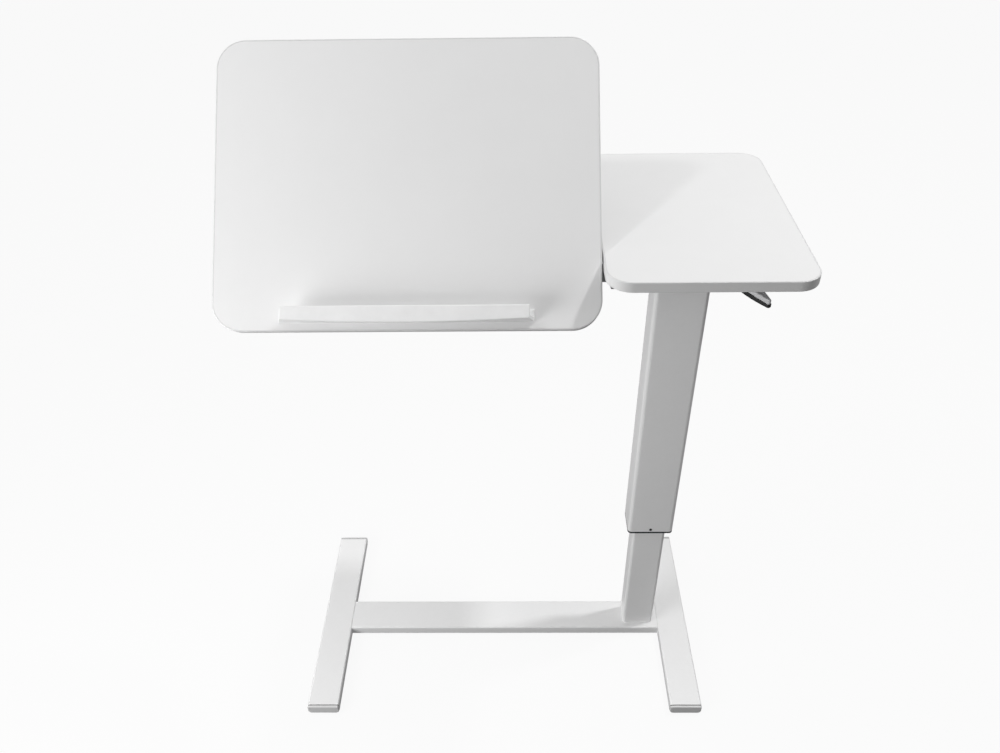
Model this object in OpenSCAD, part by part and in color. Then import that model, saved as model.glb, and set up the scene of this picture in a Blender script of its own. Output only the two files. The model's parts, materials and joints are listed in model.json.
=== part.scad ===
// Height-adjustable reading table: H base, telescopic gas-lift column,
// fixed side top and a tilting reading panel with a book ledge.
// +X is to the right, +Y to the back, +Z up. Millimetres.

/* [Tops] */
// Width over both tops
top_span = 800; // [760:5:900]
// Depth of both tops
top_depth = 400; // [380:5:460]
// Width of the fixed side top
side_top_w = 278; // [270:2:300]
// Gap between the side top and the reading panel
top_gap = 2; // [1.5:0.5:6]
// Thickness of the boards
board_t = 15; // [15:1:18]
// Corner radius of the boards
corner_r = 40; // [20:2:60]
// Corner radius of the side top, seen from above
side_corner_r = 34; // [20:2:60]
// Thickness of the edge band
band_t = 2; // [1:0.5:3]
// Height of the side top's surface above the floor
top_height = 965; // [955:1:985]

/* [Base] */
// Width over both feet
base_w = 760; // [720:5:800]
// Length of a foot over its end caps
foot_len = 432; // [420:4:520]
// Width of a foot tube
foot_w = 60; // [56:1:70]
// Width of the cross beam
beam_w = 68; // [66:1:74]
// Height of the base tubes
tube_h = 20; // [20:1:24]
// Thickness of an end cap's flange
cap_t = 6; // [3:1:8]
// Thickness of a floor pad
pad_t = 3; // [3:0.5:5]

/* [Column] */
// Column centre, right of the middle
column_x = 258; // [250:1:262]
// Width of the inner tube
inner_w = 61; // [60:1:64]
// Depth of the inner tube
inner_d = 42; // [42:1:44]
// Width of the outer tube
outer_w = 84; // [84:1:88]
// Depth of the outer tube
outer_d = 58; // [58:1:60]
// Height of the outer tube's lower end
sleeve_z = 311; // [300:1:320]
// Height of the inner tube's upper end
inner_top = 600; // [580:5:600]

/* [Reading panel] */
// Tilt of the reading panel from flat
tilt = 48; // [0:1:90]
// Hinge axis, in front of the middle
hinge_y = -118; // [-125:1:-117]
// Hinge axis, below the underside of the boards
hinge_drop = 19; // [19:1:21]
// Outer diameter of the tilt tube
tilt_tube_d = 25; // [22:0.5:25]

/* [Book ledge] */
// Length of the ledge at its root
ledge_len = 340; // [280:5:380]
// Length taken off each end at the lip
ledge_taper = 8; // [2:1:12]
// How far the ledge stands out from the panel
ledge_out = 28; // [24:1:34]
// Height of the lip's upper edge above the panel's lower edge
lip_top = 30; // [28:1:36]
// Height of the lip's lower edge at mid-length
lip_low = 7.5; // [6:0.5:9]
// Bow of the lip's lower edge
lip_bow = 4.5; // [3:0.5:5]

/* [Release lever] */
// Direction of the lever, right of straight ahead
lever_angle = 22; // [15:1:26]
// Distance from the release pin to the lever's pivot
pivot_out = 44; // [42:1:50]
// Distance from the release pin to the paddle's tip
lever_reach = 207; // [200:1:215]
// Radius of the paddle's wide end
paddle_r = 11; // [10:0.5:15]

/* [Hidden] */
$fn = 64;

// Overlap that keeps a cut from ending on a face
eps = 1;
// Gap between a sliding bush and the tube it runs on
slide_gap = 0.3;
// Radial clearance of a running fit
run_gap = 0.05;

// Tops
left_edge = -top_span / 2;
right_edge = top_span / 2;
board_z = top_height - board_t;
side_top_x = right_edge - side_top_w / 2;
panel_w = top_span - side_top_w - top_gap;
panel_x = left_edge + panel_w / 2;
pilot_depth = 10;

// Base
tube_wall = 2;
tube_r = 3;
tube_z = pad_t + tube_h / 2;
beam_top = pad_t + tube_h;
left_foot_x = left_edge + foot_w / 2;
right_foot_x = left_edge + base_w - foot_w / 2;
foot_tube_len = foot_len - 2 * cap_t;
beam_len = base_w - 2 * foot_w;
beam_x = (left_foot_x + right_foot_x) / 2;
cap_low_r = 7;
cap_plug = 22;
pad_r = 17;
pad_inset = 32;
tongue_w = 50;
tongue_out = 54;
left_tongue_in = 60;
right_tongue_in = 82;
tongue_screw_y = 15;
tongue_screw_r = 3;
foot_screw_x = foot_w / 2;
beam_screw_x = -40;

// Column
column_wall = 2;
inner_r = 6;
outer_r = 7;
foot_block_h = 20;
block_top = beam_top + foot_block_h;
column_bolt_x = 20;
column_bolt_y = 11;
column_bolt_r = 4;
bolt_access_r = 8.5;
bolt_seat_z = beam_top - tube_wall - 6;
washer_t = 1.6;
stud_r = 5;
cylinder_r = 14;
cylinder_bore = 12;
cylinder_top = 545;
gland_t = 12;
gland_plug = 15;
rod_r = 6;
rod_thread_r = 5;
rod_low = 330;
piston_h = 15;
bush_len = 40;
bush_lip = 4;
bush_cap_t = 4;
bush_screw_r = 1.5;
bush_screw_z = sleeve_z + 6;

// Head under the side top
plate_t = 4;
plate_z = board_z - plate_t;
plate_w = 150;
plate_d = 130;
plate_y = -15;
plate_screw_x = 65;
plate_screw_y = [-55, 0, 55];
anchor_t = 5;
anchor_z = plate_z - 43;
nut_h = 8;
notch_w = 40;
rod_end = anchor_z + anchor_t + nut_h + 2.5;
pin_r = 2;
pin_top = rod_end + 4.2;
pin_low = pin_top - 40;
pin_travel = 3;
pilot_r = 2.2;

// Lever, in its own frame: X along the arm from the release pin, Z from the pivot
arm_t = 6;
arm_hub_r = 9;
arm_inner_low = -6;
arm_end = 160;
pivot_z = pin_top + slide_gap - arm_inner_low;
pivot_r = 3;
cheek_gap = 7;
cheek_t = 3;
clevis_len = 20;
tip_r = 3.5;
paddle_low = -12;
paddle_split = -3.5;
paddle_high = 3;
paddle_start = 96;
paddle_wide = lever_reach - 71;
paddle_neck = 18;
paddle_inset = 1.2;
arc_steps = 16;
paddle_screw_x = [112, 178];

// Hinge
hinge_z = board_z - hinge_drop;
tilt_r = tilt_tube_d / 2;
bush_wall = 2;
bush_r = tilt_r + bush_wall;
block_w = 30;
block_x = [151, 241];
block_r = 22;
block_foot = 72;
block_foot_t = 8;
block_screw_x = 9;
block_screw_y = 29;
ear_w = 12;
ear_back = 35;
ear_low = 7;
ear_top = 4.5;
ear_slot = 2;
tension_y = 28;
collar_w = 8;
collar_r = 18.5;
collar_x = [171, 221];
tilt_tube_left = -330;
tilt_tube_right = 262;
saddle_w = 30;
saddle_x = [-290, 70];
saddle_r = 19;
saddle_foot_t = 6;
saddle_bolt_r = 3;

// Ledge, measured on the flat panel
panel_front = -top_depth / 2;
flange_t = 3;
flange_top = 27;
floor_low = 10.5;
floor_t = 6;
lip_t = 4;
ledge_screw_x = [-130, -45, 45, 130];
ledge_screw_r = 1.5;

// ---- Profiles and placing ----

// Rectangle with true round corners, centred
module rounded_rect(w, d, r) {
    square([w - 2 * r, d], center = true);
    square([w, d - 2 * r], center = true);
    for (x = [-1, 1], y = [-1, 1])
        translate([x * (w / 2 - r), y * (d / 2 - r)]) circle(r);
}

module tube_profile(w, d, r, wall) {
    difference() {
        rounded_rect(w, d, r);
        rounded_rect(w - 2 * wall, d - 2 * wall, r - wall);
    }
}

// Extrudes a profile along X, centred: profile x becomes Y, profile y becomes Z
module along_x(length) {
    translate([-length / 2, 0, 0]) rotate([90, 0, 90]) linear_extrude(length) children();
}

// Extrudes a profile along Y, centred: profile x stays X, profile y becomes Z
module along_y(length) {
    translate([0, length / 2, 0]) rotate([90, 0, 0]) linear_extrude(length) children();
}

// Turns what is drawn for the flat panel to the panel's tilt
module tilted() {
    translate([0, hinge_y, hinge_z]) rotate([tilt, 0, 0]) translate([0, -hinge_y, -hinge_z])
        children();
}

// The lever's frame
module at_lever() {
    translate([column_x, 0, pivot_z]) rotate([0, 0, lever_angle - 90]) children();
}

// Screw pointing up, its head below z = 0, with a hexagon socket
module screw(r, length, head_r, head_h) {
    difference() {
        union() {
            translate([0, 0, -head_h]) cylinder(r = head_r, h = head_h);
            cylinder(r = r, h = length);
        }
        translate([0, 0, -head_h - eps]) cylinder(r = head_r * 0.5, h = head_h * 0.6 + eps, $fn = 6);
    }
}

module hex_nut(r, hole_r, h) {
    difference() {
        cylinder(r = r, h = h, $fn = 6);
        translate([0, 0, -eps]) cylinder(r = hole_r, h = h + 2 * eps);
    }
}

// ---- Base ----

module foot_tube(x, side) {
    color("white") translate([x, 0, tube_z]) difference() {
        along_y(foot_tube_len) tube_profile(foot_w, tube_h, tube_r, tube_wall);
        translate([side * foot_w / 2, 0, 0])
            cube([4 * tube_wall, tongue_w + 1, tube_h - 2 * tube_wall], center = true);
        for (y = [-1, 1])
            translate([side * (foot_w / 2 - foot_screw_x), y * tongue_screw_y, -tube_h])
                cylinder(r = tongue_screw_r + 0.3, h = tube_h);
    }
}

module left_foot_tube() foot_tube(left_foot_x, 1);

module right_foot_tube() foot_tube(right_foot_x, -1);

module cross_beam() {
    color("white") difference() {
        translate([beam_x, 0, tube_z]) along_x(beam_len) tube_profile(beam_w, tube_h, tube_r, tube_wall);
        at_tongue_screws(-1, beam_screw_x) cylinder(r = tongue_screw_r + 0.3, h = tube_z);
        at_column_bolts() translate([0, 0, tube_z]) cylinder(r = column_bolt_r + 0.5, h = tube_h);
        at_column_bolts() cylinder(r = bolt_access_r, h = tube_z);
    }
}

// Foot end cap: a flange with round lower corners and a hollow plug
module end_cap(x, side) {
    color("white") translate([x, side * (foot_tube_len / 2), tube_z]) {
        translate([0, side * cap_t / 2, 0]) along_y(cap_t) {
            intersection() {
                rounded_rect(foot_w, tube_h, tube_r);
                translate([0, cap_low_r]) rounded_rect(foot_w, tube_h + 2 * cap_low_r, cap_low_r);
            }
        }
        translate([0, -side * cap_plug / 2, 0]) along_y(cap_plug)
            tube_profile(foot_w - 2 * tube_wall, tube_h - 2 * tube_wall, 2.9, 2.2);
    }
}

module front_left_end_cap() end_cap(left_foot_x, -1);

module rear_left_end_cap() end_cap(left_foot_x, 1);

module front_right_end_cap() end_cap(right_foot_x, -1);

module rear_right_end_cap() end_cap(right_foot_x, 1);

module floor_pads() {
    color("gray") for (x = [left_foot_x, right_foot_x], side = [-1, 1])
        translate([x, side * (foot_len / 2 - pad_inset), 0]) cylinder(r = pad_r, h = pad_t);
}

// Places of a tongue's screws: side -1 is the left joint, dx is measured outwards from the beam's end
module at_tongue_screws(side, dx) {
    for (y = [-1, 1])
        translate([beam_x + side * (beam_len / 2 + dx), y * tongue_screw_y, 0]) children();
}

// Steel tongue that lies in a foot and in the beam and joins them
module joint_tongue(side, inward) {
    translate([beam_x + side * (beam_len / 2 + (tongue_out - inward) / 2), 0, tube_z])
        cube([tongue_out + inward, tongue_w, tube_h - 2 * tube_wall], center = true);
}

module left_joint_tongue() {
    color("silver") difference() {
        joint_tongue(-1, left_tongue_in);
        for (dx = [foot_screw_x, beam_screw_x])
            at_tongue_screws(-1, dx) cylinder(r = tongue_screw_r, h = tube_z + 4);
    }
}

// The right tongue also lies under the column, and the column's bolts pass through it
module right_joint_tongue() {
    color("silver") difference() {
        joint_tongue(1, right_tongue_in);
        at_tongue_screws(1, foot_screw_x) cylinder(r = tongue_screw_r, h = tube_z + 4);
        at_column_bolts() cylinder(r = bolt_access_r, h = bolt_seat_z);
        at_column_bolts() cylinder(r = column_bolt_r + 0.5, h = beam_top);
    }
}

module tongue_screws() {
    color("dimgray") translate([0, 0, pad_t]) {
        for (side = [-1, 1])
            at_tongue_screws(side, foot_screw_x) screw(tongue_screw_r, 13, 6, 1.6);
        at_tongue_screws(-1, beam_screw_x) screw(tongue_screw_r, 13, 6, 1.6);
    }
}

// ---- Column, fixed part ----

module at_column_bolts() {
    for (x = [-1, 1], y = [-1, 1])
        translate([column_x + x * column_bolt_x, y * column_bolt_y, 0]) children();
}

module column_foot_block() {
    color("silver") difference() {
        translate([column_x, 0, beam_top]) linear_extrude(foot_block_h)
            rounded_rect(inner_w - 2 * column_wall, inner_d - 2 * column_wall, inner_r - column_wall);
        at_column_bolts() cylinder(r = column_bolt_r, h = bolt_seat_z - washer_t + 23);
        translate([column_x, 0, 0]) cylinder(r = 10.5, h = beam_top + 9);
        translate([column_x, 0, 0]) cylinder(r = stud_r, h = block_top + eps);
    }
}

module column_bolts() {
    color("dimgray") at_column_bolts()
        translate([0, 0, bolt_seat_z - washer_t]) screw(column_bolt_r, 23, 6.5, 6);
}

module column_washers() {
    color("silver") at_column_bolts() translate([0, 0, bolt_seat_z - washer_t])
        linear_extrude(washer_t) difference() {
            circle(8);
            circle(column_bolt_r + 0.3);
        }
}

module inner_tube() {
    color("white") translate([column_x, 0, beam_top]) linear_extrude(inner_top - beam_top)
        tube_profile(inner_w, inner_d, inner_r, column_wall);
}

// Plastic guide on the inner tube's upper end, sliding in the outer tube
module upper_guide_bush() {
    out_w = outer_w - 2 * column_wall - 2 * slide_gap;
    out_d = outer_d - 2 * column_wall - 2 * slide_gap;
    out_r = outer_r - column_wall - slide_gap;
    color("dimgray") translate([column_x, 0, 0]) {
        translate([0, 0, inner_top - bush_len]) linear_extrude(bush_len) difference() {
            rounded_rect(out_w, out_d, out_r);
            rounded_rect(inner_w, inner_d, inner_r);
        }
        translate([0, 0, inner_top]) linear_extrude(bush_cap_t) difference() {
            rounded_rect(out_w, out_d, out_r);
            circle(cylinder_r + 2);
        }
    }
}

module gas_cylinder() {
    color("dimgray") translate([column_x, 0, 0]) difference() {
        union() {
            translate([0, 0, block_top]) cylinder(r = cylinder_r, h = cylinder_top - block_top);
            translate([0, 0, beam_top + 1]) cylinder(r = stud_r, h = foot_block_h);
        }
        translate([0, 0, block_top + 4]) cylinder(r = cylinder_bore, h = cylinder_top);
    }
}

module cylinder_gland() {
    color("silver") translate([column_x, 0, cylinder_top]) difference() {
        union() {
            cylinder(r = cylinder_r, h = gland_t);
            translate([0, 0, -gland_plug]) cylinder(r = cylinder_bore, h = gland_plug + eps);
        }
        translate([0, 0, -gland_plug - eps])
            cylinder(r = rod_r + run_gap, h = gland_t + gland_plug + 2 * eps);
    }
}

module cylinder_nut() {
    color("silver") translate([column_x, 0, beam_top + 1]) hex_nut(9.8, stud_r, nut_h);
}

// ---- Column, lifting part ----

module outer_tube() {
    notch_x = column_x + outer_d / 2 * tan(lever_angle);
    color("white") difference() {
        translate([column_x, 0, sleeve_z]) linear_extrude(plate_z - sleeve_z)
            tube_profile(outer_w, outer_d, outer_r, column_wall);
        translate([notch_x - notch_w / 2, -outer_d / 2 - eps, anchor_z + 12])
            cube([notch_w, 2 * column_wall + eps, plate_z]);
        translate([column_x, 0, bush_screw_z]) rotate([90, 0, 0])
            cylinder(r = bush_screw_r + 0.1, h = outer_d + 2 * eps, center = true);
    }
}

module lower_guide_bush() {
    color("black") translate([column_x, 0, sleeve_z]) difference() {
        union() {
            linear_extrude(bush_len) rounded_rect(outer_w - 2 * column_wall,
                outer_d - 2 * column_wall, outer_r - column_wall);
            translate([0, 0, -bush_lip]) linear_extrude(bush_lip)
                rounded_rect(outer_w, outer_d, outer_r);
        }
        translate([0, 0, -bush_lip - eps]) linear_extrude(bush_len + bush_lip + 2 * eps)
            rounded_rect(inner_w + 2 * slide_gap, inner_d + 2 * slide_gap, inner_r + slide_gap);
        translate([0, 0, bush_screw_z - sleeve_z]) rotate([90, 0, 0])
            cylinder(r = bush_screw_r, h = outer_d, center = true);
    }
}

module bush_screws() {
    color("black") for (turn = [0, 180])
        translate([column_x, 0, bush_screw_z]) rotate([-90, 0, turn])
            translate([0, 0, -outer_d / 2]) screw(bush_screw_r, 7, 2.6, 0.8);
}

module gas_anchor_plate() {
    color("silver") translate([column_x, 0, anchor_z]) linear_extrude(anchor_t) difference() {
        rounded_rect(outer_w - 2 * column_wall, outer_d - 2 * column_wall, outer_r - column_wall);
        circle(rod_thread_r + 0.1);
    }
}

module gas_rod() {
    color("silver") translate([column_x, 0, 0]) difference() {
        union() {
            translate([0, 0, rod_low]) cylinder(r = rod_thread_r, h = piston_h + eps);
            translate([0, 0, rod_low + piston_h])
                cylinder(r = rod_r, h = anchor_z - rod_low - piston_h);
            translate([0, 0, anchor_z - eps]) cylinder(r = rod_thread_r, h = rod_end - anchor_z + eps);
        }
        translate([0, 0, pin_low - pin_travel - 3]) cylinder(r = pin_r + run_gap, h = rod_end);
    }
}

module rod_piston() {
    color("dimgray") translate([column_x, 0, rod_low]) difference() {
        cylinder(r = cylinder_bore - run_gap, h = piston_h);
        translate([0, 0, -eps]) cylinder(r = rod_thread_r, h = piston_h + 2 * eps);
    }
}

module rod_lock_nut() {
    color("silver") translate([column_x, 0, anchor_z + anchor_t]) hex_nut(9.8, rod_thread_r, nut_h);
}

module release_pin() {
    color("silver") translate([column_x, 0, pin_low]) cylinder(r = pin_r, h = pin_top - pin_low);
}

// ---- Head and side top ----

module at_plate_screws() {
    for (x = [-1, 1], y = plate_screw_y)
        translate([column_x + x * plate_screw_x, plate_y + y, 0]) children();
}

module at_bearing_screws() {
    for (x = block_x, dx = [-1, 1], dy = [-1, 1])
        translate([x + dx * block_screw_x, hinge_y + dy * block_screw_y, 0]) children();
}

module head_plate() {
    color("silver") difference() {
        translate([column_x, plate_y, plate_z]) linear_extrude(plate_t)
            rounded_rect(plate_w, plate_d, 8);
        at_plate_screws() translate([0, 0, plate_z - eps]) cylinder(r = 2.6, h = plate_t + 2 * eps);
    }
}

module board_screws() {
    color("silver") at_plate_screws() translate([0, 0, plate_z])
        screw(pilot_r, plate_t + pilot_depth, 4.5, 2.5);
}

// Board core with its edge left free for the band
module board_core(x, w, r) {
    translate([x, 0, board_z]) linear_extrude(board_t)
        rounded_rect(w - 2 * band_t, top_depth - 2 * band_t, r - band_t);
}

module edge_band(x, w, r) {
    color("whitesmoke") translate([x, 0, board_z]) linear_extrude(board_t)
        tube_profile(w, top_depth, r, band_t);
}

module side_board() {
    color("white") difference() {
        board_core(side_top_x, side_top_w, side_corner_r);
        at_plate_screws() translate([0, 0, plate_z]) cylinder(r = pilot_r, h = plate_t + pilot_depth);
        at_bearing_screws() translate([0, 0, plate_z]) cylinder(r = pilot_r, h = plate_t + pilot_depth);
    }
}

module side_edge_band() edge_band(side_top_x, side_top_w, side_corner_r);

// ---- Release lever ----

module lever_clevis() {
    cheek_low = -pivot_r - 8;
    color("silver") at_lever() translate([pivot_out, 0, 0]) difference() {
        union() {
            for (side = [-1, 1])
                translate([-clevis_len / 2, side * (cheek_gap + cheek_t) / 2 - cheek_t / 2, cheek_low])
                    cube([clevis_len, cheek_t, plate_z - pivot_z - cheek_low]);
            translate([-clevis_len / 2, -16, plate_z - pivot_z - cheek_t]) cube([clevis_len, 32, cheek_t]);
        }
        rotate([90, 0, 0]) cylinder(r = pivot_r, h = 60, center = true);
    }
}

module lever_pivot_pin() {
    half = cheek_gap / 2 + cheek_t;
    color("silver") at_lever() translate([pivot_out, 0, 0]) rotate([90, 0, 0]) difference() {
        union() {
            translate([0, 0, -half]) cylinder(r = pivot_r, h = 2 * half + 4);
            translate([0, 0, -half - 2]) cylinder(r = pivot_r + 2, h = 2);
        }
        translate([0, 0, half + 0.5]) difference() {
            cylinder(r = pivot_r + eps, h = 1);
            translate([0, 0, -eps]) cylinder(r = pivot_r - 0.5, h = 1 + 2 * eps);
        }
    }
}

module pivot_clip() {
    color("dimgray") at_lever() translate([pivot_out, 0, 0]) rotate([90, 0, 0])
        translate([0, 0, cheek_gap / 2 + cheek_t + 0.5]) linear_extrude(1) difference() {
            circle(pivot_r + 2.5);
            circle(pivot_r - 0.5);
        }
}

// Flat steel arm on edge: the inner end presses the release pin
module arm_profile() {
    polygon([[-7, arm_inner_low], [18, arm_inner_low], [pivot_out, -arm_hub_r],
        [pivot_out, arm_hub_r], [-7, 1]]);
    translate([pivot_out, 0]) circle(arm_hub_r);
    polygon([[pivot_out, -arm_hub_r], [90, -7], [arm_end, -7], [arm_end, 0.5], [90, 2],
        [pivot_out, arm_hub_r]]);
}

module lever_arm() {
    color("silver") at_lever() difference() {
        rotate([90, 0, 0]) linear_extrude(arm_t, center = true) difference() {
            arm_profile();
            translate([pivot_out, 0]) circle(pivot_r + run_gap);
        }
        translate([paddle_screw_x[0], 0, 0]) cylinder(r = 1.6, h = 30, center = true);
    }
}

// Points of an arc about [x, 0]
function arc(x, r, from, to) =
    [for (i = [0 : arc_steps]) let (a = from + (to - from) * i / arc_steps) [x + r * cos(a), r * sin(a)]];

// Outline of the paddle: a neck and a wide end that narrows to the tip
module paddle_outline(grow) {
    wide_r = paddle_r + grow;
    end_r = tip_r + grow;
    end_x = lever_reach - tip_r;
    half_neck = paddle_neck / 2 + grow;
    side = acos((wide_r - end_r) / (end_x - paddle_wide));
    root = 180 - asin(half_neck / wide_r);
    polygon(concat(
        arc(end_x, end_r, -side, side),
        arc(paddle_wide, wide_r, side, root),
        [[paddle_start - grow, half_neck], [paddle_start - grow, -half_neck]],
        arc(paddle_wide, wide_r, -root, -side)
    ));
}

// The slot in the paddle that the arm lies in
module arm_slot() {
    translate([paddle_start - 5, -arm_t / 2, -7]) cube([arm_end - paddle_start + 5, arm_t, 9]);
}

module at_paddle_screws() {
    for (x = paddle_screw_x) translate([x, 0, 0]) children();
}

module paddle_top() {
    color("lightgray") at_lever() difference() {
        translate([0, 0, paddle_split]) linear_extrude(paddle_high - paddle_split)
            paddle_outline(-paddle_inset);
        arm_slot();
        at_paddle_screws() translate([0, 0, paddle_low]) cylinder(r = 1.5, h = 13);
    }
}

module paddle_base() {
    color("black") at_lever() difference() {
        translate([0, 0, paddle_low]) linear_extrude(paddle_split - paddle_low) paddle_outline(0);
        arm_slot();
        at_paddle_screws() {
            translate([0, 0, paddle_low - eps]) cylinder(r = 1.5, h = 14);
            translate([0, 0, paddle_low - eps]) cylinder(r = 3, h = 1.5 + eps);
        }
    }
}

module paddle_screws() {
    color("dimgray") at_lever() at_paddle_screws()
        translate([0, 0, paddle_low + 1.5]) screw(1.5, 11, 2.8, 1.5);
}

// ---- Hinge, fixed part ----

// Side view of a bearing block: foot, neck and a clamp that is split to the back
module block_profile() {
    difference() {
        union() {
            intersection() {
                circle(block_r);
                translate([-block_r, -block_r]) square([2 * block_r, block_r + hinge_drop]);
            }
            translate([-block_r, 0]) square([2 * block_r, hinge_drop]);
            translate([-block_foot / 2, hinge_drop - block_foot_t]) square([block_foot, block_foot_t]);
        }
        circle(bush_r);
        translate([0, -ear_slot / 2]) square([block_r + eps, ear_slot]);
    }
}

// The two ears of the clamp, narrow enough to leave the foot screws free
module ear_profile() {
    difference() {
        translate([block_r - 4, -ear_low]) square([ear_back - block_r + 4, ear_low + ear_top]);
        translate([block_r - 4 - eps, -ear_slot / 2]) square([ear_back, ear_slot]);
    }
}

module bearing_block(x) {
    color("silver") difference() {
        translate([x, hinge_y, hinge_z]) {
            along_x(block_w) block_profile();
            along_x(ear_w) ear_profile();
        }
        at_bearing_screws() translate([0, 0, plate_z - 20]) cylinder(r = 2.6, h = 40);
        translate([x, hinge_y + tension_y, hinge_z - ear_low - eps])
            cylinder(r = 2.7, h = ear_low + ear_top + 2 * eps);
    }
}

module left_bearing_block() bearing_block(block_x[0]);

module right_bearing_block() bearing_block(block_x[1]);

module friction_bushes() {
    color("dimgray") for (x = block_x)
        translate([x, hinge_y, hinge_z]) along_x(block_w) difference() {
            circle(bush_r);
            circle(tilt_r + run_gap);
        }
}

module tension_screws() {
    color("dimgray") for (x = block_x)
        translate([x, hinge_y + tension_y, hinge_z - ear_low])
            screw(2.5, ear_low + ear_top + 4, 4.2, 3.5);
}

module tension_nuts() {
    color("silver") for (x = block_x)
        translate([x, hinge_y + tension_y, hinge_z + ear_top]) hex_nut(4.6, 2.5, 3.5);
}

module bearing_screws() {
    color("silver") at_bearing_screws() translate([0, 0, board_z - block_foot_t])
        screw(pilot_r, block_foot_t + pilot_depth, 4.5, 2.5);
}

// ---- Tilting panel ----

module at_saddles() {
    for (x = saddle_x) translate([x, hinge_y, hinge_z]) children();
}

module at_saddle_screws() {
    for (x = saddle_x, dx = [-1, 1], dy = [-1, 1])
        translate([x + dx * block_screw_x, hinge_y + dy * block_screw_y, 0]) children();
}

module at_ledge_screws() {
    for (x = ledge_screw_x)
        translate([panel_x + x, panel_front + floor_low + floor_t / 2, 0]) children();
}

module tilt_tube() {
    middle = (tilt_tube_left + tilt_tube_right) / 2;
    color("silver") tilted() difference() {
        translate([middle, hinge_y, hinge_z]) along_x(tilt_tube_right - tilt_tube_left) difference() {
            circle(tilt_r);
            circle(tilt_r - 2);
        }
        at_saddles() cylinder(r = saddle_bolt_r, h = 40, center = true);
    }
}

module tilt_tube_caps() {
    color("black") tilted() for (side = [-1, 1])
        translate([side < 0 ? tilt_tube_left : tilt_tube_right, hinge_y, hinge_z]) {
            translate([side, 0, 0]) along_x(2) circle(tilt_r);
            translate([-side * 5, 0, 0]) along_x(10) circle(tilt_r - 2);
        }
}

module shaft_collars() {
    color("silver") tilted() for (x = collar_x) difference() {
        translate([x, hinge_y, hinge_z]) along_x(collar_w) difference() {
            circle(collar_r);
            circle(tilt_r);
        }
        translate([x, hinge_y, hinge_z - 30]) cylinder(r = 2.5, h = 30);
    }
}

module collar_set_screws() {
    color("dimgray") tilted() for (x = collar_x)
        translate([x, hinge_y, hinge_z - collar_r + 0.5]) difference() {
            cylinder(r = 2.5, h = collar_r - 0.5 - tilt_r);
            translate([0, 0, -eps]) cylinder(r = 1.3, h = 2 + eps, $fn = 6);
        }
}

module panel_board() {
    color("white") tilted() difference() {
        board_core(panel_x, panel_w, corner_r);
        at_saddle_screws() translate([0, 0, board_z - 2]) cylinder(r = pilot_r, h = 2 + pilot_depth);
        at_ledge_screws() translate([0, 0, board_z - eps])
            cylinder(r = ledge_screw_r + 0.2, h = board_t + 2 * eps);
    }
}

module panel_edge_band() tilted() edge_band(panel_x, panel_w, corner_r);

module saddle(x) {
    color("silver") tilted() difference() {
        translate([x, hinge_y, hinge_z]) along_x(saddle_w) difference() {
            union() {
                circle(saddle_r);
                translate([-saddle_r, 0]) square([2 * saddle_r, hinge_drop]);
                translate([-block_foot / 2, hinge_drop - saddle_foot_t])
                    square([block_foot, saddle_foot_t]);
            }
            circle(tilt_r);
        }
        at_saddle_screws() translate([0, 0, board_z - 20]) cylinder(r = 2.6, h = 30);
        at_saddles() translate([0, 0, -30]) cylinder(r = saddle_bolt_r, h = 46);
    }
}

module left_saddle() saddle(saddle_x[0]);

module right_saddle() saddle(saddle_x[1]);

module saddle_screws() {
    color("silver") tilted() at_saddle_screws() translate([0, 0, board_z - saddle_foot_t])
        screw(pilot_r, saddle_foot_t + pilot_depth, 4.5, 2.5);
}

module saddle_bolts() {
    color("dimgray") tilted() at_saddles() translate([0, 0, -saddle_r])
        screw(saddle_bolt_r, saddle_r + 14, 5, 3);
}

// Side view of the ledge: back flange, floor and lip
module ledge_profile() {
    translate([0, 0]) square([flange_top, flange_t]);
    translate([floor_low, 0]) square([floor_t, ledge_out]);
    translate([lip_low, ledge_out - lip_t]) square([lip_top - lip_low, lip_t]);
}

module book_ledge() {
    half = ledge_len / 2;
    bow_r = (pow(half - ledge_taper, 2) + lip_bow * lip_bow) / (2 * lip_bow);
    color("white") tilted() translate([panel_x, panel_front, top_height]) difference() {
        intersection() {
            along_x(ledge_len) difference() {
                ledge_profile();
                translate([-eps, -eps]) square([floor_low + eps, ledge_out - lip_t + eps]);
            }
            translate([0, 50, 0]) along_y(100) polygon([[-half, 0], [half, 0],
                [half - ledge_taper, ledge_out], [ledge_taper - half, ledge_out]]);
            translate([0, lip_low + bow_r, -eps]) cylinder(r = bow_r, h = ledge_out + 2 * eps, $fn = 720);
        }
        for (x = ledge_screw_x)
            translate([x, floor_low + floor_t / 2, -eps]) cylinder(r = ledge_screw_r, h = 12 + eps);
    }
}

module ledge_screws() {
    color("silver") tilted() at_ledge_screws() translate([0, 0, board_z])
        screw(ledge_screw_r, board_t + 11, 3, 2);
}

left_foot_tube();
right_foot_tube();
cross_beam();
front_left_end_cap();
rear_left_end_cap();
front_right_end_cap();
rear_right_end_cap();
floor_pads();
left_joint_tongue();
right_joint_tongue();
tongue_screws();
column_foot_block();
column_bolts();
column_washers();
inner_tube();
upper_guide_bush();
gas_cylinder();
cylinder_gland();
cylinder_nut();
outer_tube();
lower_guide_bush();
bush_screws();
gas_anchor_plate();
gas_rod();
rod_piston();
rod_lock_nut();
head_plate();
board_screws();
side_board();
side_edge_band();
lever_clevis();
lever_pivot_pin();
pivot_clip();
left_bearing_block();
right_bearing_block();
friction_bushes();
tension_screws();
tension_nuts();
bearing_screws();
lever_arm();
paddle_top();
paddle_base();
paddle_screws();
release_pin();
tilt_tube();
tilt_tube_caps();
shaft_collars();
collar_set_screws();
panel_board();
panel_edge_band();
left_saddle();
right_saddle();
saddle_screws();
saddle_bolts();
book_ledge();
ledge_screws();
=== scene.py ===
"""Reading table with a tilting panel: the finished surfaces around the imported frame."""

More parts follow.
